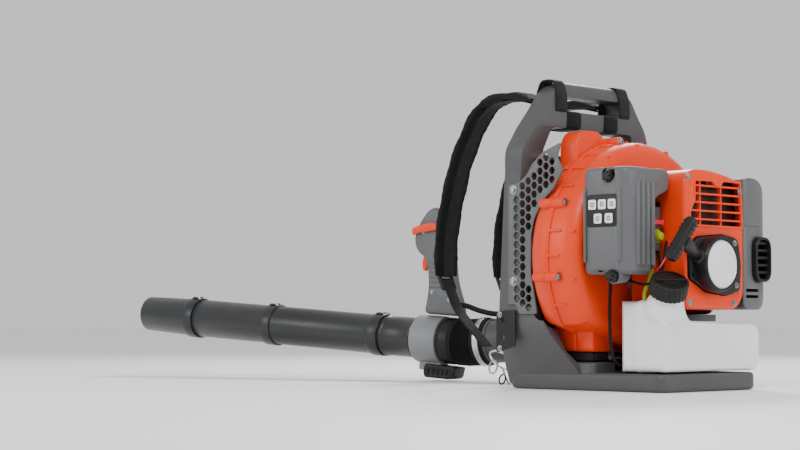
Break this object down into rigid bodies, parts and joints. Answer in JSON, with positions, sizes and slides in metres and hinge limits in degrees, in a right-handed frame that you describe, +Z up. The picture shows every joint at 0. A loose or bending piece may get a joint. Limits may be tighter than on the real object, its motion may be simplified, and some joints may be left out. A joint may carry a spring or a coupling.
{
  "type": "leaf blower",
  "caption": "Backpack leaf blower: an engine-driven fan on a frame with shoulder straps feeds a hinged blow tube with a throttle handle.",
  "frame": {"origin": "on the ground under the middle of the frame's base, level with the crank axis across and at the fan's rear shoulder lengthways", "axes": "+X to the wearer's right, +Y forward along the way the blow tube points, +Z up; the crank axis is parallel to Y"},
  "size_m": [0.3921, 1.429, 0.508],
  "materials": {
    "frame_plastic": "fine moulded texture, dark grey",
    "grey_plastic": "fine moulded texture, mid grey",
    "light_grey_plastic": "fine moulded texture, light grey",
    "black_plastic": "satin black",
    "orange_plastic": "smooth orange, soft gloss",
    "tube_plastic": "drawn tube, satin dark grey",
    "rubber": "matt black rubber",
    "fabric": "black woven nylon",
    "webbing": "black ribbed webbing",
    "tank_plastic": "translucent white blow-moulded",
    "fuel_line": "yellow-green translucent hose",
    "red_plastic": "smooth red",
    "cast_aluminium": "cast, slightly rough",
    "steel": "bright zinc plated",
    "filter_paper": "pleated paper and felt",
    "ceramic": "glazed white"
  },
  "bodies": {
    "backpack": {"fan_housing_front": "orange_plastic", "fan_housing_rear": "orange_plastic", "inlet_screen": "black_plastic", "frame": "frame_plastic", "harness_bracket": "black_plastic", "grille_left": "grey_plastic", "grille_right": "grey_plastic", "strap_pad_left": "fabric", "strap_pad_right": "fabric", "strap_webbing_left": "webbing", "strap_webbing_right": "webbing", "strap_hook_left": "steel", "strap_hook_right": "steel", "back_pad": "fabric", "outlet_elbow": "frame_plastic", "hose_clamp_rear": "steel", "throttle_cable": "rubber", "control_cable": "rubber", "fuel_tank": "tank_plastic", "fuel_line": "fuel_line", "rubber_mount_left": "rubber", "rubber_mount_right": "rubber", "crankcase": "cast_aluminium", "cylinder": "cast_aluminium", "spark_plug": "ceramic", "piston": "cast_aluminium", "connecting_rod": "steel", "ignition_coil": "black_plastic", "muffler": "steel", "muffler_cover": "grey_plastic", "exhaust_guard": "black_plastic", "engine_cover": "orange_plastic", "starter_housing": "black_plastic", "recoil_spring": "steel", "filter_cover": "grey_plastic", "filter_base": "frame_plastic", "filter_element": "filter_paper", "carburettor": "frame_plastic"},
    "rotor": {"crankshaft": "steel", "flywheel": "cast_aluminium", "impeller": "black_plastic"},
    "pulley": {"starter_pulley": "black_plastic"},
    "starter_handle": {"starter_grip": "black_plastic", "starter_rope": "webbing"},
    "knob_upper": {"filter_knob_upper": "black_plastic"},
    "knob_lower": {"filter_knob_lower": "black_plastic"},
    "choke": {"choke_lever": "red_plastic"},
    "cap": {"fuel_cap": "frame_plastic"},
    "hose_rear": {"hose_bellows": "rubber"},
    "hose_front": {"hose_clamp_front": "black_plastic"},
    "swivel": {"swivel_pipe": "tube_plastic", "handle_clamp_ring": "light_grey_plastic", "clamp_foot": "black_plastic", "handle_grip_left": "grey_plastic", "handle_grip_right": "grey_plastic"},
    "tube_rear": {"blow_tube_rear": "tube_plastic"},
    "tube_front": {"blow_tube_front": "tube_plastic"},
    "nozzle_end": {"nozzle": "tube_plastic"},
    "trigger": {"throttle_trigger": "orange_plastic"},
    "cruise": {"cruise_lever": "orange_plastic"}
  },
  "joints": [
    {"name": "crank_spin", "type": "hinge", "parent": "backpack", "child": "rotor", "pos_m": [0, 0, 0.2], "axis": [0, 1, 0], "continuous": true},
    {"name": "starter_pull", "type": "slide", "parent": "backpack", "child": "starter_handle", "axis": [-0.9021, -0.2205, 0.3709], "range_m": [0, 0.75], "stiffness_N_per_m": 12, "springref_m": -0.4, "deforming": ["starter_rope"]},
    {"name": "pulley_spin", "type": "hinge", "parent": "backpack", "child": "pulley", "pos_m": [0, -0.156, 0.2], "axis": [0, 1, 0], "range_deg": [-1540, 0]},
    {"name": "filter_knob_upper_turn", "type": "hinge", "parent": "backpack", "child": "knob_upper", "pos_m": [-0.173, -0.082, 0.335], "axis": [-1, 0, 0], "range_deg": [0, 720]},
    {"name": "filter_knob_lower_turn", "type": "hinge", "parent": "backpack", "child": "knob_lower", "pos_m": [-0.173, -0.089, 0.18], "axis": [-1, 0, 0], "range_deg": [0, 720]},
    {"name": "choke_turn", "type": "hinge", "parent": "backpack", "child": "choke", "pos_m": [-0.095, -0.108, 0.266], "axis": [0, -1, 0], "range_deg": [0, 40]},
    {"name": "fuel_cap_turn", "type": "hinge", "parent": "backpack", "child": "cap", "pos_m": [-0.108, -0.148, 0.163], "axis": [-0.3003, -0.4504, 0.8408], "range_deg": [0, 540]},
    {"name": "hose_yaw", "type": "hinge", "parent": "backpack", "child": "hose_rear", "pos_m": [0.0984, 0.4726, 0.071], "axis": [0, 0, 1], "range_deg": [-25, 35], "deforming": ["hose_bellows", "throttle_cable"]},
    {"name": "hose_pitch", "type": "hinge", "parent": "hose_rear", "child": "hose_front", "pos_m": [0.0984, 0.4726, 0.071], "axis": [0.9781, 0.2079, 0], "range_deg": [-20, 20], "deforming": ["hose_bellows", "throttle_cable"]},
    {"name": "tube_swivel", "type": "hinge", "parent": "hose_front", "child": "swivel", "pos_m": [0.0984, 0.4726, 0.071], "axis": [-0.2074, 0.9756, 0.0715], "range_deg": [-45, 45], "deforming": ["throttle_cable"]},
    {"name": "tube_rear_lock", "type": "hinge", "parent": "swivel", "child": "tube_rear", "pos_m": [0.0984, 0.4726, 0.071], "axis": [-0.2074, 0.9756, 0.0715], "range_deg": [0, 14]},
    {"name": "tube_front_lock", "type": "hinge", "parent": "tube_rear", "child": "tube_front", "pos_m": [0.0984, 0.4726, 0.071], "axis": [-0.2074, 0.9756, 0.0715], "range_deg": [0, 14]},
    {"name": "nozzle_lock", "type": "hinge", "parent": "tube_front", "child": "nozzle_end", "pos_m": [0.0984, 0.4726, 0.071], "axis": [-0.2074, 0.9756, 0.0715], "range_deg": [0, 14]},
    {"name": "trigger_squeeze", "type": "hinge", "parent": "swivel", "child": "trigger", "pos_m": [0.08133, 0.55291, 0.25434], "axis": [-0.9781, -0.2079, 0], "range_deg": [0, 15], "stiffness_Nm_per_rad": 0.3, "springref_deg": -14.32},
    {"name": "cruise_turn", "type": "hinge", "parent": "swivel", "child": "cruise", "pos_m": [0.08514, 0.53499, 0.28611], "axis": [0.9781, 0.2079, 0], "range_deg": [0, 30]}
  ],
  "couplings": [
    {"joint": "pulley_spin", "follows": "starter_pull", "rad_per_m": -35.714}
  ]
}
